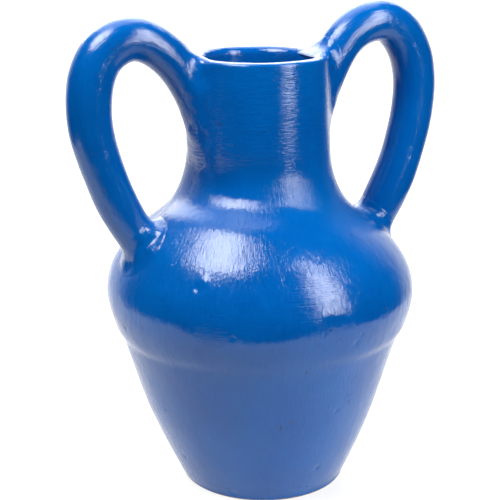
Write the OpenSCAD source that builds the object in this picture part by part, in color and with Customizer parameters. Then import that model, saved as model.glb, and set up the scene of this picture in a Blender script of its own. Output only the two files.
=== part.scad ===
// Two-handled amphora, built as a potter builds it: a slab floor, a conical
// lower wall, a rounded shoulder, a neck and a lip, each joined to the next on
// a bevelled edge, and two coil handles whose ends are cut to the pot's curve
// and held by a lute, the soft clay pressed in round the root.
// Frame: +Z up, origin at the middle of the foot, handles in the XZ plane.

/* [Body] */
// Height of the top of the lip
rim_h = 350; // [330:5:370]
// Radius of the foot where it meets the table
foot_r = 65; // [58:1:68]
// Radius of the lower wall at its top, where the shoulder is joined on
seam_r = 111.5; // [106:0.5:114]
// Height of that joint on the outside
seam_z = 125; // [120:1:130]
// Largest radius of the body
belly_r = 123.5; // [120:0.5:128]
// Height of the largest radius
belly_z = 163; // [158:1:168]
// Thickness of the body's wall
wall = 11; // [9:0.5:12]
// Thickness of the floor slab
floor_t = 11; // [9:1:14]

/* [Neck and lip] */
// Outer radius of the neck at its foot
neck_r = 57.5; // [55:0.5:59]
// Outer radius of the neck under the lip
neck_top_r = 56; // [55:0.5:58]
// Radius of the neck's bore
mouth_r = 44; // [42:0.5:46]
// Height at which the neck is straight
neck_z = 272; // [266:1:278]
// Height of the lip ring
lip_h = 12; // [10:1:14]

/* [Handles] */
// Thickness of a handle at its middle
handle_d = 36.5; // [32:0.5:38]
// Thickness of a handle where it leaves the neck
handle_top_d = 28; // [26:1:32]
// Thickness of a handle where it meets the shoulder
handle_foot_d = 32; // [28:1:34]
// Height of the left handle's crest above the lip, to the middle of its thickness
left_rise = 17; // [12:1:22]
// Furthest the middle of the left handle stands from the pot's axis
left_reach = 141; // [136:0.5:144]
// Height of the right handle's crest above the lip, to the middle of its thickness
right_rise = 21; // [16:1:24]
// Furthest the middle of the right handle stands from the pot's axis
right_reach = 139.5; // [136:0.5:144]
// How far the clay of a lute stands out from the handle at its root
lute_t = 10; // [6:0.5:12]

/* [Hidden] */

glaze = [0.03, 0.28, 0.66];
clay = [0.70, 0.38, 0.25];

$fn = 120;
lip_z = rim_h - lip_h;
// how steeply the bevelled joints rise from the outer face to the inner face
bevel_slope = 0.45;
// where the shoulder's dome turns into the curve up to the neck, and the way it runs there
turn = [belly_r - 41, belly_z + 59];
turn_dir = [-0.82, 0.57];
// how full the curves are: distance from an end of a curve to its control point
belly_pull = 18;
dome_pull = 25;
flare_pull = 22;
neck_pull = 10;
// control point of the lower wall, which swells a little above the foot
swell = [89.5, 44.5];
// underside: a shallow recess leaves a ring to stand on, and the foot's edge is eased
recess_r = 50;
recess_h = 2;
foot_round = 3;
// the wall is this much thicker where it leaves the floor
floor_fillet = 1;

// Centrelines of the handles: distance from the pot's axis, and height. Both ends are carried on
// inside the pot's outline, where they are cut away again to seat the handle on the wall.
left_path = [
    [34, rim_h - 80],
    [45, rim_h - 55],
    [68, rim_h - 7],
    [102, rim_h + left_rise],
    [left_reach - 7, rim_h + left_rise - 15],
    [left_reach, rim_h - 45],
    [left_reach - 19, turn[1] + 20],
    [99, turn[1] - 16],
    [88, turn[1] - 34]];
right_path = [
    [37, rim_h - 73],
    [47, rim_h - 47],
    [70.5, rim_h + 7],
    [109, rim_h + right_rise],
    [right_reach - 5, rim_h + right_rise - 25],
    [right_reach, rim_h - 46],
    [right_reach - 12, turn[1] + 30],
    [104, turn[1] - 16],
    [95, turn[1] - 34]];
path_steps = 8;
handle_sides = 24;
// share of a handle's length, from its neck end, at which it has swelled to its full thickness
// and at which it starts to thin again
swelled = 0.45;
thinning = 0.62;
// share of a handle's length that each lute covers, at the neck and at the shoulder
neck_lute_share = 0.25;
shoulder_lute_share = 0.23;
lute_edge = 1;

// ---- curves ----

function mix(a, b, t) = a + (b - a) * t;
function bezier2(a, b, c, n) =
    [for (i = [0:n]) let (t = i / n) mix(mix(a, b, t), mix(b, c, t), t)];
function bezier3(a, b, c, d, n) =
    [for (i = [0:n]) let (t = i / n, p = mix(b, c, t))
        mix(mix(mix(a, b, t), p, t), mix(p, mix(c, d, t), t), t)];
function tail(p) = [for (i = [1:len(p) - 1]) p[i]];
function chopped(p) = [for (i = [0:len(p) - 2]) p[i]];
function reversed(p) = [for (i = [len(p) - 1:-1:0]) p[i]];

// the points of an upward curve moved towards the axis, from t0 at its start to t1 at its end
function inset(p, t0, t1) =
    [for (i = [0:len(p) - 1]) let (
        a = p[max(i - 1, 0)],
        b = p[min(i + 1, len(p) - 1)],
        d = (b - a) / norm(b - a),
        t = mix(t0, t1, i / (len(p) - 1)))
        p[i] + t * [-d[1], d[0]]];

// Catmull-Rom curve through points, with its two ends carried straight on
function through(p, n) =
    let (last = len(p) - 1, q = concat([2 * p[0] - p[1]], p, [2 * p[last] - p[last - 1]]))
    concat([for (i = [1:last], k = [0:n - 1]) let (t = k / n)
        0.5 * (2 * q[i] + (q[i + 1] - q[i - 1]) * t
            + (2 * q[i - 1] - 5 * q[i] + 4 * q[i + 1] - q[i + 2]) * t * t
            + (3 * q[i] - q[i - 1] - 3 * q[i + 1] + q[i + 2]) * t * t * t)],
        [p[last]]);

// ---- the pot's outline: [radius, height], from the foot upwards ----

foot_edge = [foot_r + 2.5, foot_round];
lower_curve = bezier2(foot_edge, swell, [seam_r, seam_z], 8);
belly_curve = bezier2([seam_r, seam_z], [belly_r - 1, belly_z - belly_pull], [belly_r, belly_z], 6);
dome_curve = bezier3([belly_r, belly_z], [belly_r, belly_z + dome_pull],
    turn - dome_pull * turn_dir, turn, 10);
flare_curve = bezier3(turn, turn + flare_pull * turn_dir, [neck_r, neck_z - neck_pull],
    [neck_r, neck_z], 10);
shoulder_curve = concat(belly_curve, tail(dome_curve));
outer = concat(lower_curve, tail(shoulder_curve), tail(flare_curve),
    [[neck_top_r, lip_z]]);
inner = concat(
    inset(lower_curve, wall + floor_fillet, wall),
    tail(inset(shoulder_curve, wall, wall)),
    tail(chopped(inset(flare_curve, wall, neck_r - mouth_r))),
    [[mouth_r, neck_z]]);

// section of the whole wall, from the floor slab to the foot of the lip
module wall_section() {
    polygon(concat(outer, [[mouth_r, lip_z]], reversed(inner)));
}

// everything inside the pot's outline, for seating the handles on its outer face
module pot_core() {
    rotate_extrude()
        polygon(concat([[0, foot_round]], outer, [[neck_top_r, rim_h], [0, rim_h]]));
}

// a joint through point p of the outer face, as a line across the section that rises by slope
// for each mm nearer the axis
function joint(p, slope) = [for (r = [belly_r + 10, mouth_r - 10]) [r, p[1] + slope * (p[0] - r)]];

seam_joint = joint([seam_r, seam_z], bevel_slope);
neck_joint = joint(flare_curve[4], bevel_slope);
floor_joint = joint([foot_r, floor_t], 0);
lip_joint = joint([neck_top_r, lip_z], 0);

// the ring of wall between two joints
module ring_between(low, high) {
    rotate_extrude()
        intersection() {
            wall_section();
            polygon(concat(low, reversed(high)));
        }
}

// ---- the pot's parts ----

module floor_slab() {
    color(clay)
        rotate_extrude()
            intersection() {
                polygon(concat(
                    [[0, recess_h], [recess_r, recess_h], [recess_r + 2, 0], [foot_r, 0]],
                    lower_curve, [[0, seam_z]]));
                square([belly_r, floor_t]);
            }
}

module lower_wall() {
    color(glaze) ring_between(floor_joint, seam_joint);
}

module shoulder() {
    color(glaze) ring_between(seam_joint, neck_joint);
}

module neck() {
    color(glaze) ring_between(neck_joint, lip_joint);
}

module lip() {
    lip_w = neck_top_r - mouth_r;
    color(glaze)
        rotate_extrude() {
            translate([mouth_r + lip_w / 2, rim_h - lip_w / 2]) circle(d = lip_w);
            translate([mouth_r, lip_z]) square([lip_w, lip_h - lip_w / 2]);
        }
}

// ---- the handles ----

// thickness of a handle at a share s of its length
function handle_r(s) = s < swelled
    ? mix(handle_top_d, handle_d, s / swelled) / 2
    : mix(handle_d, handle_foot_d, max(0, (s - thinning) / (1 - thinning))) / 2;

// a round bar along centreline points, with one radius for each point
module bar(points, radii) {
    n = len(points);
    m = handle_sides;
    rings = [for (i = [0:n - 1]) let (
        d = points[min(i + 1, n - 1)] - points[max(i - 1, 0)],
        side = [-d[1], d[0]] / norm(d))
        for (k = [0:m - 1]) let (a = 360 * k / m, r = radii[i])
            [points[i][0] + side[0] * r * cos(a), r * sin(a), points[i][1] + side[1] * r * cos(a)]];
    walls = [for (i = [0:n - 2], k = [0:m - 1]) let (
        a = i * m + k,
        b = i * m + (k + 1) % m)
        each [[a, b, a + m], [b, b + m, a + m]]];
    polyhedron(rings, concat([[for (k = [m - 1:-1:0]) k]], walls,
        [[for (k = [0:m - 1]) (n - 1) * m + k]]));
}

module coil(path) {
    points = through(path, path_steps);
    last = len(points) - 1;
    bar(points, [for (i = [0:last]) handle_r(i / last)]);
}

module handle(path) {
    color(glaze)
        difference() {
            coil(path);
            pot_core();
        }
}

// Clay pressed in round a root: a sleeve that flares towards the wall and thins to an edge along
// the handle. It starts inside the pot's outline, where it is cut away like the handle's end.
module lute(path, share, at_neck) {
    points = through(path, path_steps);
    last = len(points) - 1;
    count = round(last * share);
    near = at_neck ? 0 : last;
    ids = at_neck ? [0:count] : [last - count:last];
    color(glaze)
        difference() {
            bar([for (i = ids) points[i]],
                [for (i = ids) handle_r(i / last)
                    + mix(lute_edge, lute_t, pow(1 - abs(i - near) / count, 2))]);
            coil(path);
            pot_core();
        }
}

module on_left() {
    mirror([1, 0, 0]) children();
}

floor_slab();
lower_wall();
shoulder();
neck();
lip();
on_left() handle(left_path);  // handle_left
handle(right_path);  // handle_right
on_left() lute(left_path, neck_lute_share, true);  // lute_left_neck
on_left() lute(left_path, shoulder_lute_share, false);  // lute_left_shoulder
lute(right_path, neck_lute_share, true);  // lute_right_neck
lute(right_path, shoulder_lute_share, false);  // lute_right_shoulder
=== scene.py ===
"""Looks for the two-handled clay amphora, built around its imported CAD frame.

The body is one turned skin with the unevenness of hand building, cut into the CAD's pieces at the
same joints. The handles are swept coils, and each lute is a fillet between a handle and the wall.
"""
import math
import bpy
import numpy as np
from mathutils import Matrix, Vector


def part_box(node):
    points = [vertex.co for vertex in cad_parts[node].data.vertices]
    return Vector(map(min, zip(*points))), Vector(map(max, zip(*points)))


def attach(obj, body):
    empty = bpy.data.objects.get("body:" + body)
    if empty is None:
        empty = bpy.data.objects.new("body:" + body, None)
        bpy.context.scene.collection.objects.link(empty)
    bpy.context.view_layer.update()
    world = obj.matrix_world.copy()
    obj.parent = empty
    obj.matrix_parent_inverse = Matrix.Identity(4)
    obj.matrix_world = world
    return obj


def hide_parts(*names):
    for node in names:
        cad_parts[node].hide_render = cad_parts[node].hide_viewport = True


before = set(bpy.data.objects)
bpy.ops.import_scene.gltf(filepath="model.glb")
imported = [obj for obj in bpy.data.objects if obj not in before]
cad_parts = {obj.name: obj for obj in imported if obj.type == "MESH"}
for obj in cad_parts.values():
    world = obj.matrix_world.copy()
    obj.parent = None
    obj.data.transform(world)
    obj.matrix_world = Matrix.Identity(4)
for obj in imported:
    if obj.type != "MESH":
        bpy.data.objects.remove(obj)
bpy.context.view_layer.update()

MM = 0.001
TURN = math.radians(-25)  # the camera's azimuth, so that the left handle is the nearer one
TO_CAMERA = np.array([math.sin(TURN), -math.cos(TURN), 0.0])
CAMERA_RIGHT = np.array([math.cos(TURN), math.sin(TURN), 0.0])

BODY_NODES = ["floor_slab", "lower_wall", "shoulder", "neck", "lip"]
COLUMNS = 640  # columns of the turned skin
SIDES = 96  # points round a handle
HAIR = 1e-6  # heights closer than this are the same height
TINY = 1e-12  # keeps a division by a length away from zero


# ---- noise ----

NOISE_GAIN = 1.7  # brings the noise to about -1 to 1


def noise(points, size, seed):
    """Smooth noise, about -1 to 1, whose lumps are about size across."""
    rng = np.random.default_rng(seed)
    table = rng.permutation(256)
    slopes = rng.normal(size=(256, 3))
    slopes /= np.linalg.norm(slopes, axis=1, keepdims=True)
    q = points / size + rng.uniform(10, 90, 3)
    cell = np.floor(q).astype(int)
    f = q - cell
    w = f * f * f * (f * (f * 6 - 15) + 10)
    total = np.zeros(points.shape[:-1])
    for corner in np.ndindex(2, 2, 2):
        c = cell + corner
        h = table[(table[(table[c[..., 0] & 255] + c[..., 1]) & 255] + c[..., 2]) & 255]
        share = np.prod(np.where(np.array(corner) == 1, w, 1 - w), axis=-1)
        total += share * ((f - corner) * slopes[h]).sum(-1)
    return total * NOISE_GAIN


def smooth_step(x, low, high):
    """0 up to low, 1 from high, and a smooth rise between them."""
    t = np.clip((x - low) / (high - low), 0, 1)
    return t * t * (3 - 2 * t)


def bump(x, centre, width):
    """A smooth hill, 1 high at its centre."""
    return np.exp(-((x - centre) / width) ** 2)


# ---- the body's outline, read from the CAD ----

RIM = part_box("lip")[1].z
FLOOR_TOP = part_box("floor_slab")[1].z
FOOT_ROUND = 3 * MM
LIP_ROUND = 6 * MM
FAR = 1  # metres from the axis, well outside the jar


def cast(nodes, origin, direction):
    """Distance to the first of the CAD nodes that a ray meets, and that node's name."""
    origin, direction = Vector(origin), Vector(direction)
    best, owner = math.inf, None
    for name in nodes:
        hit, spot, _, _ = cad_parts[name].ray_cast(origin, direction)
        if hit and (spot - origin).length < best:
            best, owner = (spot - origin).length, name
    return best, owner


def blurred(values, sigma):
    """Gaussian blur of evenly spaced values, with the ends carried straight on."""
    n = int(4 * sigma)
    kernel = np.exp(-0.5 * (np.arange(-n, n + 1) / sigma) ** 2)
    head = 2 * values[0] - values[n:0:-1]
    rest = 2 * values[-1] - values[-2:-n - 2:-1]
    return np.convolve(np.concatenate([head, values, rest]), kernel / kernel.sum(), "valid")


def cad_outline():
    """Heights, outer and inner radii of the wall, and the heights of its outer joints."""
    heights = np.arange(FOOT_ROUND, RIM - LIP_ROUND, MM)
    outer, inner, owners = [], [], []
    for z in heights:
        d, owner = cast(BODY_NODES, (0, FAR, z), (0, -1, 0))
        outer.append(FAR - d)
        owners.append(owner)
        d, owner = cast(BODY_NODES, (0, 0, z), (0, 1, 0))
        inner.append(d if owner else 0)
    joints = [heights[i] - MM / 2 for i in range(1, len(heights)) if owners[i] != owners[i - 1]]
    return heights, np.array(outer), np.array(inner), joints


HEIGHTS, OUTER, INNER, JOINTS = cad_outline()
FLOOR_JOINT, SEAM, NECK_JOINT, LIP_JOINT = JOINTS
OUTER = blurred(OUTER, 5) - 0.2 * MM  # smoothed, and a little inside the CAD's face
above_floor = HEIGHTS > FLOOR_TOP + MM
INNER[above_floor] = blurred(INNER[above_floor], 5)
FOOT_R = OUTER[0] - 2.5 * MM
BORE_R = INNER[-1]
BEVEL = {SEAM: 4.4 * MM, NECK_JOINT: 6 * MM}  # how much higher the bevelled joints are inside
INNER_JOINTS = [SEAM + BEVEL[SEAM], NECK_JOINT + BEVEL[NECK_JOINT], LIP_JOINT]
LIP_MID = (OUTER[-1] + BORE_R) / 2
LIP_HALF = (OUTER[-1] - BORE_R) / 2
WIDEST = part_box("shoulder")[1].y - 0.4 * MM  # the belly's front and back end here
EASING = 2 * MM  # lumps are eased in over this last stretch


# ---- unevenness of the hand-built wall ----

# the lumps' height and width in mm, and the noise's seed, from the broadest to the finest
LUMPS = [(0.75, 85, 3), (0.45, 42, 5), (0.16, 19, 7), (0.045, 8, 11)]


def lumps(points):
    """How far the clay stands out at these points, for the body and the handles alike."""
    return sum(rise * noise(points, size * MM, seed) for rise, size, seed in LUMPS) * MM


def facing(points):
    """Angle round the jar in degrees: 0 towards the camera, positive to its right."""
    return np.degrees(np.arctan2(points @ CAMERA_RIGHT, points @ TO_CAMERA))


# dents and lumps on the front: angle in degrees, height, radius and height of the lump, in mm
MARKS = [(-21, 196, 2.6, 0.8), (-24, 192, 2.2, -0.7), (36, 85, 1.8, -0.7), (34, 29, 2.0, -0.8),
         (-20, 6, 2.0, -0.6), (-50, 32, 1.8, -0.6), (-59, 146, 2.0, -0.6), (39, 153, 1.8, -0.6),
         (37, 147, 2.4, -0.7), (-7, 145, 1.6, -0.5), (-9, 159, 2.0, -0.5), (-52, 209, 4.0, 0.9)]


# how far the front of the shoulder and the body's two sides stand out from the CAD, in mm
TABLE_Z = np.arange(0, 400)
FRONT_BY = blurred(np.interp(
    TABLE_Z, [150, 170, 185, 195, 205, 213, 221, 229, 237, 245, 255, 265, 280, 300],
    [0, -1.6, -1.2, -0.8, 1.6, 3.0, 6.2, 5.8, 1.2, -2.8, -4.4, -3.1, -0.6, 0]), 4.5)
SIDES_BY = blurred(np.interp(
    TABLE_Z, [20, 60, 90, 120, 150, 190, 230], [0, 0.6, 1.6, 1.5, 1.3, 1.2, 0]), 10)

SEAM_RIDGE = 7  # how far above its joint the seam's ridge lies, in mm
SEAM_R = 110 * MM  # the circle on which the seam's noise is read


def wall_relief(points):
    """Extra relief of the body's outer face, in metres: the seam below the belly, the shape of
    the shoulder's front and of the two sides, and the marks."""
    phi, z = facing(points), points[..., 2] / MM
    angle = np.radians(phi)
    # the seam: a ridge over a groove, which wander round the jar and fade at the front
    ring = np.stack([np.cos(angle), np.sin(angle), np.zeros_like(angle)], -1) * SEAM_R
    line = SEAM / MM + SEAM_RIDGE + 2.0 * np.sin(angle) + 2.2 * noise(ring, 55 * MM, 21)
    faded = 1 - 0.85 * np.exp(-((phi - 5) / 30) ** 4)
    strength = faded * (0.8 + 0.5 * noise(ring, 30 * MM, 22))
    seam = strength * (0.6 * bump(z, line + 3, 6.5) - 0.6 * bump(z, line - 4.5, 4.5))
    front = smooth_step(phi, -88, -60) * (1 - smooth_step(phi, -15, 80))
    total = seam + front * np.interp(z, TABLE_Z, FRONT_BY) \
        + np.sin(angle) ** 2 * np.interp(z, TABLE_Z, SIDES_BY)
    across = np.hypot(points[..., 0], points[..., 1]) / MM * math.pi / 180  # mm in a degree
    for turn, height, size, rise in MARKS:
        apart = np.hypot((phi - turn) * across, z - height)
        total += rise * bump(apart, 0, size)
    return total * MM


def relief(points):
    """How far the body's outer face stands out from its smooth outline, in metres."""
    return lumps(points) + wall_relief(points)


# how far the body leans to the camera's right
LEAN_Z = np.arange(0, 400) * MM
LEAN_BY = blurred(np.interp(LEAN_Z / MM, [0, 30, 80, 150, 290, 350],
                            [2.2, 1.3, -0.3, -0.9, -2.4, -2.9]), 12) * MM


def lean(z):
    """The jar leans a little: how far its body is shifted at height z."""
    return np.interp(z, LEAN_Z, LEAN_BY)[..., None] * CAMERA_RIGHT


def leaned(points):
    return points + lean(points[..., 2])


# ---- the turned skin ----

# between two rows of the wall's outside, of the lip's side and of the inside
WALL_STEP, LIP_STEP, INSIDE_STEP = 1.25 * MM, 1.2 * MM, 2.5 * MM
LIP_POINTS = 34
LIP_POWERS = 0.5, 0.95  # of the lip's outer and inner quarter: 1 is round, less is squarer
CORNER = 8 * MM  # the radius where the inside meets the floor
RING_RISE, RING_WAVE = 0.35 * MM, 7 * MM  # the rings inside: height, and spacing over 2 pi


def outer_section():
    """Points [radius, height] up the outer face, from the underside over the lip to the bore."""
    start = FOOT_R - 1 * MM
    foot = [[start - 2 * MM, 0], [start, 0]]
    for a in np.linspace(0.15, 1.0, 7) * math.pi / 2:
        foot.append([start + math.sin(a) * (OUTER[0] - start), FOOT_ROUND * (1 - math.cos(a))])
    wall_z = np.unique(np.concatenate([np.arange(FOOT_ROUND + MM, LIP_JOINT, WALL_STEP), JOINTS]))
    wall = np.stack([np.interp(wall_z, HEIGHTS, OUTER), wall_z], -1)
    side = np.arange(LIP_JOINT + LIP_STEP, RIM - LIP_ROUND, LIP_STEP)
    lip_side = np.stack([np.interp(side, HEIGHTS, OUTER), side], -1)
    return np.concatenate([foot, wall, lip_side, lip_arc()])


def lip_arc():
    """The lip's rounded top, a little flattened, from its outer side to the bore."""
    a = np.linspace(0, math.pi, LIP_POINTS)
    power = np.where(a < math.pi / 2, *LIP_POWERS)
    x = np.sign(np.cos(a)) * np.abs(np.cos(a)) ** power * LIP_HALF
    y = np.sin(a) ** power * LIP_ROUND
    return np.stack([LIP_MID + x, RIM - LIP_ROUND + y], -1)


def inner_section():
    """Points [radius, height] down the inside, from the bore's top to the floor."""
    z = np.arange(RIM - LIP_ROUND - 2 * MM, FLOOR_TOP + CORNER, -INSIDE_STEP)
    z = np.unique(np.concatenate([z, INNER_JOINTS]))[::-1]
    wall = np.stack([np.interp(z, HEIGHTS, INNER), z], -1)
    corner = [[wall[-1, 0] - (1 - math.cos(a)) * CORNER, FLOOR_TOP + (1 - math.sin(a)) * CORNER]
              for a in np.linspace(0.3, 1.0, 4) * math.pi / 2]
    return np.concatenate([wall, corner])


def turned(section):
    """Grid of points: one row for each section point, COLUMNS round the axis."""
    a = np.arange(COLUMNS) / COLUMNS * 2 * math.pi
    r, z = section[:, :1], section[:, 1:]
    return np.stack([r * np.cos(a), r * np.sin(a), z + 0 * a], -1)


def grid_normals(points):
    """Normals of a grid whose columns go round and whose rows go up, pointing out."""
    across = np.roll(points, -1, 1) - np.roll(points, 1, 1)
    n = np.cross(across, np.gradient(points, axis=0))
    return n / np.maximum(np.linalg.norm(n, axis=-1, keepdims=True), TINY)


def outer_skin():
    """The uneven outer face and its normals."""
    flat = turned(outer_section())
    n = grid_normals(flat)
    # the relief fades out at the underside's edge, and is weaker towards the bore
    calm = smooth_step(flat[..., 2], 0, 6 * MM)
    outward = smooth_step(np.hypot(flat[..., 0], flat[..., 1]), BORE_R, BORE_R + LIP_HALF)
    amount = relief(flat) * calm * (0.35 + 0.65 * outward)
    points = flat + amount[..., None] * n
    # no lump stands out past the widest place
    past = np.maximum(np.abs(points[..., 1]) - (WIDEST - EASING), 0)
    points[..., 1] -= np.sign(points[..., 1]) * (past - EASING * np.tanh(past / EASING))
    return points, grid_normals(points)


def inner_skin():
    """The inside, with the rings that the potter's fingers left, and its normals."""
    flat = turned(inner_section())
    n = -grid_normals(flat[::-1])[::-1]
    z = flat[..., 2]
    rings = RING_RISE * np.sin(z / RING_WAVE + 2 * noise(flat, 60 * MM, 31))
    deep = smooth_step(RIM - z, 8 * MM, 40 * MM)
    amount = 0.35 * lumps(flat) + rings * deep
    points = flat - amount[..., None] * n * deep[..., None]
    return points, -grid_normals(points[::-1])[::-1]


# ---- meshes ----

JOINT_ROWS = 2  # rows of points across a joint face
COAT_DEPTH = 62 * MM  # how far below the rim the coating ends inside
BODY_BRUSH_R = 0.11  # radii at which the brush marks of the body and of a coil are read
COIL_BRUSH_R = 0.017
BRUSH_APART = 0.3  # keeps the coils' marks apart from the body's
# the slab's top: rings as shares of its edge
TOP_SHARES = (0.9, 0.7, 0.45, 0.2)
# its underside: rings [radius, height] from the standing ring into the recess
RECESS = 2 * MM
UNDERSIDE = np.array([[52 * MM, 0], [50 * MM, 1.4 * MM], [48 * MM, RECESS], [34 * MM, RECESS],
                      [18 * MM, RECESS]])


def make_object(name, points, faces):
    mesh = bpy.data.meshes.new(name)
    mesh.from_pydata(np.asarray(points).tolist(), [], faces)
    mesh.shade_smooth()
    obj = bpy.data.objects.new(name, mesh)
    bpy.context.scene.collection.objects.link(obj)
    return obj


def grid_faces(rows, columns, wrap_rows=False, start=0):
    """Quads of a grid that closes round its columns."""
    i = np.arange(rows if wrap_rows else rows - 1)[:, None]
    k = np.arange(columns)[None, :]
    a = i * columns + k
    b = i * columns + (k + 1) % columns
    c = ((i + 1) % rows) * columns + (k + 1) % columns
    d = ((i + 1) % rows) * columns + k
    return (np.stack([a, b, c, d], -1).reshape(-1, 4) + start).tolist()


def add_attribute(obj, name, kind, values):
    layer = obj.data.attributes.new(name, kind, "POINT")
    field = "vector" if kind == "FLOAT_VECTOR" else "value"
    layer.data.foreach_set(field, np.asarray(values, np.float32).ravel())


def set_normals(obj, normals):
    """Gives a mesh of quads these normals, one for each vertex, wherever no corner of a face has
    a zero one, so that pieces that meet on the skin shade as one surface."""
    mesh = obj.data
    loops = np.empty(len(mesh.loops), int)
    mesh.loops.foreach_get("vertex_index", loops)
    out = normals.reshape(-1, 3)[loops].reshape(-1, 4, 3)
    out[~(np.abs(out).sum(-1) > 0).all(-1)] = 0
    mesh.normals_split_custom_set(out.reshape(-1, 3).tolist())


def between(a, b, steps):
    """Rows from a to b, without the ends."""
    t = np.linspace(0, 1, steps + 2)[1:-1]
    return [a + (b - a) * k for k in t]


def coat_of(points, outside):
    """1 where the blue coating covers the clay: outside, and down into the neck."""
    edge = RIM - COAT_DEPTH + 9 * MM * noise(points, 18 * MM, 41)
    return np.where(outside, 1.0, smooth_step(points[..., 2], edge - 2 * MM, edge + 2 * MM))


def brush_frame(points):
    """Coordinates for brush marks: two round the axis, and one that grows up the wall and on
    over the shoulder, where the radius falls."""
    a = np.arctan2(points[..., 1], points[..., 0])
    r = np.hypot(points[..., 0], points[..., 1])
    along = points[..., 2] * 1.2 - r * 0.5
    return np.stack([np.cos(a) * BODY_BRUSH_R, np.sin(a) * BODY_BRUSH_R, along], -1)


def ring_piece(name, low, high):
    """A closed ring of wall: skin rows between heights low and high, the inside facing them,
    and the two joint faces."""
    pick = (skin_z >= low - HAIR) & (skin_z <= high + HAIR)
    in_low, in_high = low + BEVEL.get(low, 0), high + BEVEL.get(high, 0)
    within = (inside_z >= in_low - HAIR) & (inside_z <= in_high + HAIR)
    return closed_ring(name, [(skin[pick], skin_normals[pick]),
                              (inside[within], inside_normals[within])], pick.sum())


def closed_ring(name, strips, outer_count):
    """Strips of rows, each with its normals, joined end to end by flat faces into a ring."""
    rows, normals = [], []
    for number, (points, own) in enumerate(strips):
        following = strips[(number + 1) % len(strips)][0]
        joint = between(points[-1], following[0], JOINT_ROWS)
        rows += [points, joint]
        normals += [own, np.zeros_like(joint)]
    rows, normals = np.concatenate(rows), np.concatenate(normals)
    obj = make_object(name, leaned(rows).reshape(-1, 3),
                      grid_faces(rows.shape[0], COLUMNS, wrap_rows=True))
    set_normals(obj, normals)
    outside = np.zeros(rows.shape[:2], bool)
    outside[:outer_count] = True
    add_attribute(obj, "coat", "FLOAT", coat_of(rows, outside))
    add_attribute(obj, "brush", "FLOAT_VECTOR", brush_frame(rows))
    return obj


def floor_piece(name, high):
    """The slab: its outer edge from the skin, a top face and a recessed underside."""
    edge = skin[skin_z <= high + HAIR]
    rows = np.concatenate([edge, [edge[-1] * (share, share, 1) for share in TOP_SHARES]])
    bottom = turned(UNDERSIDE)
    bottom[..., 2] += 0.25 * MM * noise(bottom, 16 * MM, 51) * (bottom[..., 2] > 0)
    centre = np.array([[0, 0, high], [0, 0, RECESS]])
    n = rows.shape[0] * COLUMNS
    m = bottom.shape[0] * COLUMNS
    last = n + m - COLUMNS
    k = np.arange(COLUMNS)
    nxt = (k + 1) % COLUMNS
    faces = grid_faces(rows.shape[0], COLUMNS)
    faces += np.stack([n - COLUMNS + k, n - COLUMNS + nxt, np.full(COLUMNS, n + m)], -1).tolist()
    faces += [f[::-1] for f in grid_faces(bottom.shape[0], COLUMNS, start=n)]
    faces += np.stack([k, n + k, n + nxt, nxt], -1).tolist()
    faces += np.stack([last + nxt, last + k, np.full(COLUMNS, n + m + 1)], -1).tolist()
    points = np.concatenate([rows.reshape(-1, 3), bottom.reshape(-1, 3), centre])
    obj = make_object(name, leaned(points), faces)
    coat = np.zeros(len(points))
    coat[:edge.shape[0] * COLUMNS] = 1
    add_attribute(obj, "coat", "FLOAT", coat)
    add_attribute(obj, "brush", "FLOAT_VECTOR", brush_frame(points))
    return obj


# ---- signed distances, for joining the handles to the wall ----

GRID_R, GRID_Z = 200, 420  # the radius and height that a table covers, in mm
OPEN_DEPTH = 80 * MM  # how far down the mouth is open in the hollow table


def distance_table(line):
    """Distance from a closed outline on a grid of radius and height, negative inside."""
    r = np.arange(GRID_R) * MM
    z = np.arange(GRID_Z) * MM
    grid = np.stack(np.meshgrid(r, z, indexing="ij"), -1).reshape(-1, 2)
    nearest = np.full(len(grid), math.inf)
    crossings = np.zeros(len(grid), int)
    for p, q in zip(line[:-1], line[1:]):
        d = q - p
        t = np.clip(((grid - p) @ d) / max(d @ d, TINY), 0, 1)
        nearest = np.minimum(nearest, np.linalg.norm(grid - p - t[:, None] * d, axis=1))
        if p[1] != q[1]:
            spans = (grid[:, 1] >= min(p[1], q[1])) & (grid[:, 1] < max(p[1], q[1]))
            x = p[0] + (grid[:, 1] - p[1]) / (q[1] - p[1]) * d[0]
            crossings += spans & (grid[:, 0] < x)
    return np.where(crossings % 2 == 1, -nearest, nearest).reshape(len(r), len(z))


def full_outline():
    """The outer face, closed straight across the mouth."""
    line = outer_section()
    line = line[(line[:, 0] >= LIP_MID) | (line[:, 1] < RIM - LIP_ROUND)]
    return np.concatenate([[[0, 0]], line, [[0, RIM]]])


def hollow_outline():
    """The outer face and the lip, with the mouth open at the top."""
    below = RIM - OPEN_DEPTH
    return np.concatenate([[[0, 0]], outer_section(), [[BORE_R, below], [0, below]]])


def wall_distance(points, table=None):
    """Signed distance of points from the uneven, leaning outer face, its mouth closed."""
    t = FULL if table is None else table
    upright = points - lean(points[..., 2])
    r = np.clip(np.hypot(upright[..., 0], upright[..., 1]) / MM, 0, GRID_R - 1.1)
    z = np.clip(upright[..., 2] / MM, 0, GRID_Z - 1.1)
    i, k = r.astype(int), z.astype(int)
    u, v = r - i, z - k
    flat = (t[i, k] * (1 - u) * (1 - v) + t[i + 1, k] * u * (1 - v)
            + t[i, k + 1] * (1 - u) * v + t[i + 1, k + 1] * u * v)
    return flat - relief(upright)


def hollow_distance(points):
    """The same, its mouth open."""
    return wall_distance(points, HOLLOW)


def gradient(f, points):
    """The way in which f rises, as unit vectors."""
    h = 0.2 * MM
    g = np.stack([f(points + np.eye(3)[i] * h) - f(points - np.eye(3)[i] * h)
                  for i in range(3)], -1)
    return g / np.maximum(np.linalg.norm(g, axis=-1, keepdims=True), TINY)


# ---- handles ----

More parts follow.
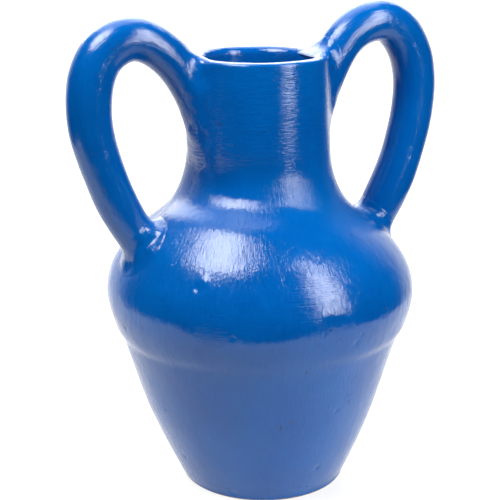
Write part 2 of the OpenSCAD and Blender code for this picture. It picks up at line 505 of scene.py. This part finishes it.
# each handle's centreline: distance from the axis and height, in mm
PATHS = {
    "left": [[34, 270], [45, 295], [68, 343.5], [102, 368], [134, 352], [141, 305], [121.5, 242],
             [99.5, 206], [90, 188]],
    "right": [[37, 277], [47, 303], [70.5, 358], [109, 372.8], [134.5, 347], [139.5, 304],
              [127.5, 252], [104, 206], [95, 188]]}
# each handle's radius in mm, at shares of its length
RADII = {
    "left": ([0, 0.3, 0.45, 0.62, 0.8, 1], [13.4, 15.8, 17.3, 17.5, 14.9, 14.6]),
    "right": ([0, 0.3, 0.45, 0.62, 0.8, 1], [13.4, 16.0, 17.5, 17.7, 17.0, 15.8])}
PATH_STEPS = 40  # points of the curve between two of a path's points
COIL_STEP = 1.3 * MM  # between two rings of a coil
PATH_BLUR, RADIUS_BLUR = 10, 20  # in points of the curve and in rings
BATCH = 20000  # points measured against a coil at a time
SEAT = 4 * MM  # how deep a coil's ends sit in the wall
CAP_SHARES = (0.8, 0.55, 0.3, 0.08)  # rings that close a coil's end, as shares of its edge


def through(p, n):
    """Catmull-Rom curve through points, with n steps between each two."""
    p = np.array(p, float)
    q = np.concatenate([[2 * p[0] - p[1]], p, [2 * p[-1] - p[-2]]])
    out = []
    for i in range(1, len(p)):
        t = np.arange(n)[:, None] / n
        out.append(0.5 * (2 * q[i] + (q[i + 1] - q[i - 1]) * t
                          + (2 * q[i - 1] - 5 * q[i] + 4 * q[i + 1] - q[i + 2]) * t * t
                          + (3 * q[i] - q[i - 1] - 3 * q[i + 1] + q[i + 2]) * t ** 3))
    return np.concatenate(out + [p[-1:]])


class Handle:
    """One coil where it stands: its centreline, radii and distance field. It doesn't lean."""

    def __init__(self, side):
        flat = through(PATHS[side], PATH_STEPS) * MM
        share = np.arange(len(flat)) / (len(flat) - 1)
        step = np.concatenate([[0], np.cumsum(np.linalg.norm(np.diff(flat, axis=0), axis=1))])
        even = np.linspace(0, step[-1], int(step[-1] / COIL_STEP))
        sign = -1 if side == "left" else 1
        x, z = (np.interp(even, step, blurred(flat[:, i], PATH_BLUR)) for i in (0, 1))
        self.line = np.stack([sign * x, 0 * x, z], -1)
        radii = np.interp(np.interp(even, step, share), *RADII[side])
        self.radius = blurred(radii, RADIUS_BLUR) * MM
        self.tangent = np.gradient(self.line, axis=0)
        self.tangent /= np.linalg.norm(self.tangent, axis=1, keepdims=True)
        self.side = np.cross(self.tangent, [0, 1, 0])
        self.along = even

    def distance(self, points):
        """Signed distance from the uneven coil."""
        flat = points.reshape(-1, 3)
        out = np.empty(len(flat))
        for i in range(0, len(flat), BATCH):
            p = flat[i:i + BATCH]
            d2 = ((p[:, None, :] - self.line[None]) ** 2).sum(-1)
            k = d2.argmin(1)
            off = p - self.line[k]
            off -= (off * self.tangent[k]).sum(-1, keepdims=True) * self.tangent[k]
            out[i:i + BATCH] = np.linalg.norm(off, axis=1) - self.radius[k]
        return out.reshape(points.shape[:-1]) - lumps(points)

    def surface(self):
        """Grid of points on the coil: one row for each centreline point."""
        a = np.arange(SIDES) / SIDES * 2 * math.pi
        n = (self.side[:, None] * np.cos(a)[None, :, None]
             + np.array([0, 1, 0]) * np.sin(a)[None, :, None])
        points = self.line[:, None] + self.radius[:, None, None] * n
        return points + lumps(points)[..., None] * n


def crossing(depths, level, from_start):
    """For each column of depths, the row, with a fraction, where it first rises to level,
    counted from the coil's start or end."""
    d = depths if from_start else depths[::-1]
    k = (d >= level).argmax(0)
    k = np.maximum(k, 1)
    col = np.arange(d.shape[1])
    lo, hi = d[k - 1, col], d[k, col]
    row = k - 1 + np.clip((level - lo) / np.maximum(hi - lo, TINY), 0, 1)
    return row if from_start else d.shape[0] - 1 - row


def at_rows(grid, rows):
    """Points of a grid's columns at fractional rows."""
    k = np.clip(np.floor(rows).astype(int), 0, grid.shape[0] - 2)
    f = (rows - k)[..., None]
    col = np.arange(grid.shape[1])
    return grid[k, col] * (1 - f) + grid[k + 1, col] * f


def handle_piece(name, handle):
    """The coil, with its two ends seated a little way inside the wall."""
    grid = handle.surface()
    depth = wall_distance(grid)
    start = crossing(depth, -SEAT, True)
    end = crossing(depth, -SEAT, False)
    points = np.array([at_rows(grid, start + (end - start) * share)
                       for share in np.linspace(0, 1, len(grid))])
    faces = grid_faces(len(points), SIDES)
    flat = points.reshape(-1, 3)
    last = len(flat) - SIDES
    for base, first in ((0, True), (last, False)):
        faces += cap_faces(base, len(flat), first)
        flat = np.concatenate([flat, end_cap(flat[base:base + SIDES])])
    obj = make_object(name, flat, [f[::-1] for f in faces])
    add_attribute(obj, "coat", "FLOAT", np.ones(len(flat)))
    add_attribute(obj, "brush", "FLOAT_VECTOR", coil_brush(flat, handle))
    return obj


def end_cap(ring):
    """Rings inside a coil's end, following the wall's curve."""
    centre = ring.mean(0)
    out = []
    for share in CAP_SHARES:
        p = centre + (ring - centre) * share
        for _ in range(3):
            p = p - (wall_distance(p) + SEAT)[:, None] * gradient(wall_distance, p)
        out.append(p)
    return np.concatenate(out)


def cap_faces(base, start, first):
    """Faces from a coil's end ring over the cap's rings, and one face over its middle. The end
    ring's points start at base and the cap's at start."""
    k = np.arange(SIDES)
    nxt = (k + 1) % SIDES
    faces = []
    below = base
    for ring in range(len(CAP_SHARES)):
        above = start + ring * SIDES
        faces += np.stack([below + k, below + nxt, above + nxt, above + k], -1).tolist()
        below = above
    faces.append((below + k).tolist())
    return [f[::-1] for f in faces] if first else faces


def coil_brush(points, handle):
    """Coordinates for brush marks that run along a coil."""
    k = ((points[:, None, ::2] - handle.line[None, :, ::2]) ** 2).sum(-1).argmin(1)
    off = points - handle.line[k]
    a = np.arctan2(off[:, 1], (off * handle.side[k]).sum(-1))
    return np.stack([np.cos(a) * COIL_BRUSH_R, np.sin(a) * COIL_BRUSH_R + BRUSH_APART,
                     handle.along[k]], -1)


# ---- lutes ----

LUTE_BLEND = 12 * MM  # how wide a fillet is, on the coil and on the wall
LUTE_ROWS = 30  # rows of points from the coil to the wall
LUTE_DEPTH = 1.2 * MM  # how far a lute's back goes below the root line
FEATHER = 0.5 * MM  # how far its edges dip under the coil and the wall
WALK_STEPS, WALK_STEP = 60, 0.7 * MM


def smooth_union(a, b, k):
    """The nearer of two signed distances, blended where they are within k of each other."""
    h = np.clip(k - np.abs(a - b), 0, None)
    return np.minimum(a, b) - h * h / (4 * k)


def lute_piece(name, handle, at_neck):
    """Clay pressed in round a root: a fillet between the coil and the wall, as a closed ring."""
    grid = handle.surface()
    depth = wall_distance(grid)
    root = at_rows(grid, crossing(depth, 0.0, at_neck))
    reach = LUTE_BLEND + 1.5 * MM
    on_coil = at_rows(grid, crossing(depth, reach, at_neck))
    on_wall = walk_out(root, handle, reach)
    t = np.linspace(0, 1, LUTE_ROWS)[:, None, None]
    p = (1 - t) ** 2 * on_coil + 2 * t * (1 - t) * root + t * t * on_wall

    def joined(q):
        return smooth_union(hollow_distance(q), handle.distance(q), LUTE_BLEND)

    # the rows settle on the joined surface
    for _ in range(5):
        p = p - joined(p)[..., None] * gradient(joined, p)
    n = gradient(joined, p)
    # pressed unevenly in the middle, and feathered out at both edges
    t = t[..., 0]
    middle = smooth_step(t, 0.05, 0.3) * smooth_step(1 - t, 0.05, 0.3)
    edge = smooth_step(t, 0.0, 0.07) * smooth_step(1 - t, 0.0, 0.07)
    seed = 61 if at_neck else 67
    pressed = noise(p, 13 * MM, seed) * 0.9 * MM * middle
    step = (0.16 + 0.2 * noise(p, 20 * MM, seed + 1)) * MM
    p = p + (pressed + (step + FEATHER) * edge - FEATHER)[..., None] * n
    inner = root - LUTE_DEPTH * gradient(joined, root)
    closing = [*between(p[-1], inner, 1), inner, *between(inner, p[0], 1)]
    loop = np.concatenate([p, closing])
    faces = grid_faces(len(loop), SIDES, wrap_rows=True)
    if not at_neck:
        faces = [f[::-1] for f in faces]
    obj = make_object(name, loop.reshape(-1, 3), faces)
    own = grid_normals(p)
    own *= np.sign((own * n).sum(-1, keepdims=True))
    set_normals(obj, np.concatenate([own, np.zeros_like(closing)]))
    add_attribute(obj, "coat", "FLOAT", np.ones(loop.size // 3))
    add_attribute(obj, "brush", "FLOAT_VECTOR", coil_brush(loop.reshape(-1, 3), handle))
    return obj


def walk_out(root, handle, reach):
    """From the root line, out over the wall until the coil is reach away."""
    p = root.copy()
    for _ in range(WALK_STEPS):
        n = gradient(hollow_distance, p)
        away = gradient(handle.distance, p)
        away -= (away * n).sum(-1, keepdims=True) * n
        away /= np.maximum(np.linalg.norm(away, axis=-1, keepdims=True), TINY)
        left = reach - handle.distance(p)
        p = p + away * np.clip(left, 0, WALK_STEP)[:, None]
        p = p - hollow_distance(p)[:, None] * gradient(hollow_distance, p)
    return p


# ---- materials ----

# the coating's colours: pooled, even, thin along the strokes, and the painted shade of a pit
BLUE_DEEP = (0, 0.066, 0.285, 1)
BLUE_EVEN = (0, 0.088, 0.345, 1)
BLUE_THIN = (0.001, 0.125, 0.43, 1)
BLUE_PIT_SHADE = (0, 0.012, 0.07, 1)
CLAY_DARK = (0.20, 0.11, 0.08, 1)
CLAY_PALE = (0.40, 0.24, 0.17, 1)
WHITE = (1, 1, 1, 1)
# heights of the fine relief, in metres
LINE_RISE = 0.00034
PEEL_RISE = 0.00014
PIT_DEPTH = 0.00012
GRAIN_RISE = 0.0005
# the straight neck, where the brush marks run round: above this height, within this radius
NECK_Z = (0.255, 0.275)
NECK_R = (0.064, 0.061)


class Nodes:
    """A small helper for building the node tree of a material or a world."""

    def __init__(self, owner):
        owner.use_nodes = True
        self.tree = owner.node_tree
        self.tree.nodes.clear()

    def add(self, kind, inputs=None, **settings):
        """A node with these settings, and its inputs linked to sockets or set to values."""
        node = self.tree.nodes.new(kind)
        for key, value in settings.items():
            setattr(node, key, value)
        for key, value in (inputs or {}).items():
            if isinstance(value, bpy.types.NodeSocket):
                self.tree.links.new(value, node.inputs[key])
            else:
                node.inputs[key].default_value = value
        return node

    def math(self, operation, a, b):
        return self.add("ShaderNodeMath", {0: a, 1: b}, operation=operation).outputs[0]

    def ramp(self, value, low, high, to_low=0.0, to_high=1.0):
        node = self.add("ShaderNodeMapRange", {0: value, 1: low, 2: high, 3: to_low, 4: to_high})
        return node.outputs[0]

    def noise(self, vector, scale, detail=2.0, rough=0.5):
        node = self.add("ShaderNodeTexNoise", {"Vector": vector, "Scale": scale,
                                               "Detail": detail, "Roughness": rough})
        return node.outputs[0]

    def scaled(self, vector, amounts):
        node = self.add("ShaderNodeMapping", {"Vector": vector, "Scale": amounts})
        return node.outputs[0]

    def blend(self, share, a, b):
        """A number between a and b."""
        return self.add("ShaderNodeMix", {0: share, 2: a, 3: b}).outputs[0]

    def mix(self, share, a, b):
        """A colour between a and b."""
        return self.add("ShaderNodeMix", {0: share, 6: a, 7: b}, data_type="RGBA").outputs[2]


def painted_clay():
    """Gloss blue brushed over fired clay, bare where the coat attribute is 0 and at the foot."""
    material = bpy.data.materials.new("painted_clay")
    t = Nodes(material)
    place = t.add("ShaderNodeTexCoord").outputs["Object"]
    coat = t.add("ShaderNodeAttribute", attribute_name="coat").outputs["Fac"]
    brush = t.add("ShaderNodeAttribute", attribute_name="brush").outputs["Vector"]
    height = t.add("ShaderNodeSeparateXYZ", {0: place}).outputs["Z"]
    ragged = t.math("MULTIPLY", t.noise(place, 160, 3), 0.0022)
    foot = t.ramp(t.math("SUBTRACT", height, ragged), 0.0, 0.0008)
    cover = t.math("MULTIPLY", coat, foot)

    # brush marks: fine lines up the wall, but round it in patches and on the neck
    lines_up = t.noise(t.scaled(brush, (1, 1, 0.22)), 420, 3.5, 0.72)
    lines_round = t.noise(t.scaled(brush, (0.12, 0.12, 1)), 600, 3.0, 0.65)
    level = t.scaled(place, (1, 1, 0))
    radial = t.add("ShaderNodeVectorMath", {0: level}, operation="LENGTH").outputs["Value"]
    neck = t.math("MULTIPLY", t.ramp(height, *NECK_Z), t.ramp(radial, *NECK_R))
    patch = t.math("MAXIMUM", t.ramp(t.noise(place, 22, 2), 0.60, 0.68), neck)
    lines = t.blend(patch, lines_up, lines_round)

    # colour: deep blue, lighter along the strokes, darker where it pools, and painted shade in the
    # pits
    cloud = t.noise(place, 14, 4, 0.6)
    blue = t.mix(t.ramp(cloud, 0.35, 0.65), BLUE_DEEP, BLUE_EVEN)
    blue = t.mix(t.ramp(lines, 0.35, 0.8, 0.0, 0.3), blue, BLUE_THIN)
    pit_cells = t.add("ShaderNodeTexVoronoi", {"Vector": place, "Scale": 130.0, "Randomness": 1.0})
    rare = t.ramp(t.noise(place, 45, 1), 0.60, 0.66)
    pit_and_shade = t.math("MULTIPLY", t.ramp(pit_cells.outputs["Distance"], 0.04, 0.20, 1, 0), rare)
    # painted shade: the blue is darkened in the pits
    blue = t.mix(t.math("MULTIPLY", pit_and_shade, 0.9), blue, BLUE_PIT_SHADE)
    clay = t.mix(t.noise(place, 60, 5, 0.7), CLAY_DARK, CLAY_PALE)
    colour = t.mix(cover, clay, blue)

    # roughness: gloss, a little duller along the brush marks and in the pits
    gloss = t.ramp(t.math("ADD", lines, t.math("MULTIPLY", cloud, 0.5)), 0.5, 1.0, 0.08, 0.16)
    gloss = t.math("ADD", gloss, t.math("MULTIPLY", pit_and_shade, 0.4))
    rough = t.blend(cover, 0.85, gloss)

    # relief: lines, fine orange peel, pits, and the grain of the bare clay
    peel = t.noise(place, 240, 2.0)
    relief_height = t.math("ADD", t.math("MULTIPLY", lines, LINE_RISE),
                           t.math("MULTIPLY", peel, PEEL_RISE))
    relief_height = t.math("SUBTRACT", relief_height, t.math("MULTIPLY", pit_and_shade, PIT_DEPTH))
    grain = t.math("MULTIPLY", t.noise(place, 700, 4, 0.7), GRAIN_RISE)
    bare = t.math("SUBTRACT", 1.0, cover)
    relief_height = t.math("ADD", t.math("MULTIPLY", relief_height, cover),
                           t.math("MULTIPLY", grain, bare))
    normal = t.add("ShaderNodeBump", {"Height": relief_height, "Strength": 1.0,
                                      "Distance": 1.0}).outputs[0]
    shader = t.add("ShaderNodeBsdfPrincipled", {
        "Base Color": colour, "Roughness": rough, "Normal": normal, "IOR": 1.5,
        "Specular IOR Level": 0.5})
    t.add("ShaderNodeOutputMaterial", {"Surface": shader.outputs[0]})
    return material


def floor_material():
    """A white table lit from within, so that it stays white where the lamps don't reach. It is
    brighter further away."""
    material = bpy.data.materials.new("studio_floor")
    t = Nodes(material)
    place = t.add("ShaderNodeTexCoord").outputs["Object"]
    away = t.add("ShaderNodeVectorMath", {0: place}, operation="LENGTH").outputs["Value"]
    shader = t.add("ShaderNodeBsdfPrincipled", {
        "Base Color": (0.22, 0.22, 0.22, 1), "Roughness": 0.6, "Specular IOR Level": 0.2,
        "Emission Color": WHITE, "Emission Strength": t.ramp(away, 0.25, 0.9, 0.80, 1.05)})
    t.add("ShaderNodeOutputMaterial", {"Surface": shader.outputs[0]})
    return material


# ---- studio ----

# the white table's edges: how far in front of the jar's axis, behind it, and to the camera's
# left and right of it
FLOOR_FRONT = 0.38
FLOOR_BACK = 5.0
FLOOR_LEFT = 0.75
FLOOR_RIGHT = 0.50

CAMERA_AWAY = 1.0  # metres from the jar's axis
CAMERA_UP = 0.478
CAMERA_DOWN = math.radians(16)
CAMERA_ASIDE = math.atan(11 / 1280)  # the axis is 11 of 500 pixels right of the middle
SENSOR, LENS = 36, 92.16  # mm

LAMP_AIM = Vector((0, 0, 0.2))
# each lamp's shape, azimuth, elevation, distance, width, height, roll and radiance
LAMPS = {
    "key_left": ("ELLIPSE", -50.3, 58.3, 1.5, 0.90, 0.82, 0, 16.5),
    "strip_right": ("RECTANGLE", 52.5, 28, 1.1, 0.28, 1.12, -13, 13.5),
    "panel_back": ("RECTANGLE", 182, 36, 1.7, 2.2, 1.4, 0, 4),
    "ceiling": ("RECTANGLE", 205, 72, 1.7, 1.5, 1.0, 0, 3)}

# the world is white towards WHITE_WAY, and turns dark between these cosines of the angle from it
WHITE_WAY = Vector(-TO_CAMERA - 0.1 * CAMERA_RIGHT).normalized()
WORLD_TURN = (0.46, 0.82)
WORLD_DARK, WORLD_WHITE = 0.004, 1.3


def make_floor():
    """A white table, which ends a little in front of the jar and runs far back behind it.
    The belly mirrors the dark studio beyond its front edge, and the lower wall mirrors its top."""
    away, right = -Vector(TO_CAMERA), Vector(CAMERA_RIGHT)
    corners = [-away * FLOOR_FRONT - right * FLOOR_LEFT, -away * FLOOR_FRONT + right * FLOOR_RIGHT,
               away * FLOOR_BACK + right * FLOOR_RIGHT, away * FLOOR_BACK - right * FLOOR_LEFT]
    mesh = bpy.data.meshes.new("floor")
    mesh.from_pydata([tuple(c) for c in corners], [], [(0, 1, 2, 3)])
    floor = bpy.data.objects.new("floor", mesh)
    bpy.context.scene.collection.objects.link(floor)
    mesh.materials.append(floor_material())


def make_camera():
    """A long lens at the photograph's place, looking down at the jar."""
    data = bpy.data.cameras.new("camera")
    data.sensor_width = SENSOR
    data.lens = LENS
    camera = bpy.data.objects.new("camera", data)
    bpy.context.scene.collection.objects.link(camera)
    ahead = -TO_CAMERA * math.cos(CAMERA_ASIDE) - CAMERA_RIGHT * math.sin(CAMERA_ASIDE)
    look = Vector(ahead * math.cos(CAMERA_DOWN)) - Vector((0, 0, math.sin(CAMERA_DOWN)))
    camera.location = Vector(TO_CAMERA * CAMERA_AWAY) + Vector((0, 0, CAMERA_UP))
    camera.rotation_mode = "QUATERNION"
    camera.rotation_quaternion = look.to_track_quat("-Z", "Y")
    bpy.context.scene.camera = camera


def softbox(name, shape, azimuth, elevation, distance, width, height, roll, radiance):
    """An area light aimed at the jar, its angles in degrees, to the camera's right and up."""
    a, e = math.radians(azimuth), math.radians(elevation)
    way = (TO_CAMERA * math.cos(a) + CAMERA_RIGHT * math.sin(a)) * math.cos(e)
    way = Vector(way) + Vector((0, 0, math.sin(e)))
    data = bpy.data.lights.new(name, "AREA")
    data.shape = shape
    data.size, data.size_y = width, height
    filled = math.pi / 4 if shape == "ELLIPSE" else 1  # the share of width by height
    data.energy = radiance * width * height * filled * math.pi
    light = bpy.data.objects.new(name, data)
    bpy.context.scene.collection.objects.link(light)
    light.location = LAMP_AIM + way * distance
    aim = (-way).to_track_quat("-Z", "Y").to_matrix()
    spin = Matrix.Rotation(math.radians(roll), 3, "Z")
    light.rotation_mode = "QUATERNION"
    light.rotation_quaternion = (aim @ spin).to_quaternion()


def make_world():
    """White behind the jar, a dark studio in front of it, and a white backdrop in view."""
    world = bpy.data.worlds.new("studio")
    bpy.context.scene.world = world
    t = Nodes(world)
    way = t.add("ShaderNodeTexCoord").outputs["Generated"]
    cosine = t.add("ShaderNodeVectorMath", {0: way, 1: WHITE_WAY}, operation="DOT_PRODUCT")
    glow = t.add("ShaderNodeMapRange", {
        0: cosine.outputs["Value"], 1: WORLD_TURN[0], 2: WORLD_TURN[1], 3: WORLD_DARK,
        4: WORLD_WHITE}, interpolation_type="SMOOTHSTEP").outputs[0]
    in_view = t.add("ShaderNodeLightPath").outputs["Is Camera Ray"]
    back = t.add("ShaderNodeBackground", {"Color": WHITE,
                                          "Strength": t.math("MAXIMUM", glow, in_view)})
    t.add("ShaderNodeOutputWorld", {"Surface": back.outputs[0]})


# ---- the scene ----

def place(obj, node, material, slot):
    """Makes a piece stand for a CAD node."""
    obj.data.materials.append(material)
    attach(obj, "root")
    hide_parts(node)


make_camera()
make_world()
make_floor()
for name, lamp in LAMPS.items():
    softbox(name, *lamp)
bpy.context.scene.view_settings.view_transform = "Standard"

FULL, HOLLOW = distance_table(full_outline()), distance_table(hollow_outline())
skin, skin_normals = outer_skin()
skin_z = outer_section()[:, 1]
lip_rows = np.arange(len(skin_z)) >= np.argmax(skin_z >= LIP_JOINT - HAIR)
inside, inside_normals = inner_skin()
inside_z = inner_section()[:, 1]
material = painted_clay()

place(floor_piece("floor_slab_skin", FLOOR_JOINT), "floor_slab", material, "foot")
for node, low, high in (("lower_wall", FLOOR_JOINT, SEAM), ("shoulder", SEAM, NECK_JOINT),
                        ("neck", NECK_JOINT, LIP_JOINT)):
    place(ring_piece(node + "_skin", low, high), node, material, "glaze")
bore = inside_z >= LIP_JOINT - HAIR
lip_strip = (np.concatenate([skin[lip_rows], inside[bore]]),
             np.concatenate([skin_normals[lip_rows], inside_normals[bore]]))
place(closed_ring("lip_skin", [lip_strip], lip_rows.sum()), "lip", material, "glaze")

for side in ("left", "right"):
    coil = Handle(side)
    place(handle_piece(f"handle_{side}_coil", coil), f"handle_{side}", material, "glaze")
    for root, at_neck in (("neck", True), ("shoulder", False)):
        place(lute_piece(f"lute_{side}_{root}_clay", coil, at_neck), f"lute_{side}_{root}",
              material, "glaze")
